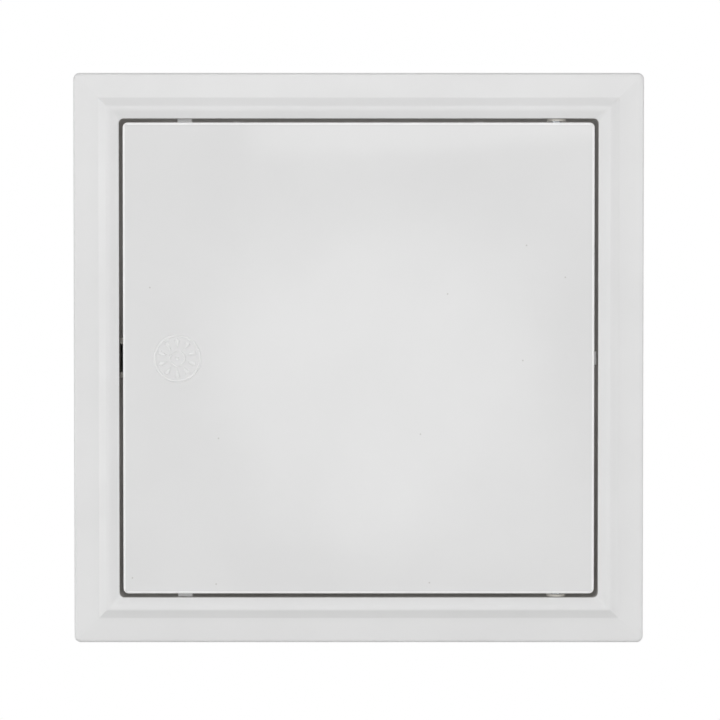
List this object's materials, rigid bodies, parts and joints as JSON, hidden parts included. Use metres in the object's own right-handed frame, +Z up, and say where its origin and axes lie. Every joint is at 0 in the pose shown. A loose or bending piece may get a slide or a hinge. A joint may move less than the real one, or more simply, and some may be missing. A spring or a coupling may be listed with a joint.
{
  "type": "access panel",
  "caption": "Square moulded access panel with a raised-bead frame, a flush pivoted leaf and a push-to-open spring latch, set in a wall or ceiling cut-out.",
  "frame": {"origin": "centre of the wall cut-out, on the plane of the wall face that the rim sits on", "axes": "+Z up, +X to the hinge side, +Y into the wall along the neck; the face looks along -Y"},
  "size_m": [0.232, 0.0496, 0.232],
  "materials": {
    "white_abs": "injection-moulded white ABS, satin gloss",
    "natural_nylon": "moulded natural nylon",
    "grey_acetal": "moulded grey acetal",
    "zinc_steel": "bright zinc-plated steel",
    "spring_steel": "drawn spring wire"
  },
  "bodies": {
    "frame": {"frame": "white_abs", "hinge_bush_upper": "natural_nylon", "hinge_bush_lower": "natural_nylon", "latch_housing": "natural_nylon", "latch_cover": "grey_acetal", "latch_screws": "zinc_steel", "latch_spring": "spring_steel", "track_pin": "spring_steel"},
    "hinge_pins": {"hinge_pin_upper": "zinc_steel", "hinge_pin_lower": "zinc_steel", "pin_clips": "spring_steel"},
    "leaf": {"door_leaf": "white_abs", "striker": "natural_nylon"},
    "carriage": {"latch_carriage": "grey_acetal", "jaw_pin_upper": "zinc_steel", "jaw_pin_lower": "zinc_steel"},
    "jaw_upper": {"jaw_upper": "natural_nylon"},
    "jaw_lower": {"jaw_lower": "natural_nylon"}
  },
  "joints": [
    {"name": "carriage_slide", "type": "slide", "parent": "frame", "child": "carriage", "axis": [0, -1, 0], "range_m": [-0.0015, 0.005], "stiffness_N_per_m": 400, "deforming": ["latch_spring", "track_pin"]},
    {"name": "push_stroke", "type": "hinge", "parent": "frame", "child": "hinge_pins", "pos_m": [0.0806, 0, 0], "axis": [0, 0, 1], "range_deg": [-0.51, 1.69]},
    {"name": "leaf_swing", "type": "hinge", "parent": "hinge_pins", "child": "leaf", "pos_m": [0.0806, 0, 0], "axis": [0, 0, 1], "range_deg": [0, 118]},
    {"name": "jaw_upper_pivot", "type": "hinge", "parent": "carriage", "child": "jaw_upper", "pos_m": [-0.0894, 0.014, 0.004], "axis": [-1, 0, 0], "range_deg": [-2.2, 7.2]},
    {"name": "jaw_lower_pivot", "type": "hinge", "parent": "carriage", "child": "jaw_lower", "pos_m": [-0.0894, 0.014, -0.004], "axis": [1, 0, 0], "range_deg": [-2.2, 7.2]}
  ],
  "couplings": [
    {"joint": "push_stroke", "follows": "carriage_slide", "rad_per_m": 5.8824},
    {"joint": "jaw_upper_pivot", "follows": "carriage_slide", "rad_per_m": 24.412},
    {"joint": "jaw_lower_pivot", "follows": "carriage_slide", "rad_per_m": 24.412}
  ]
}
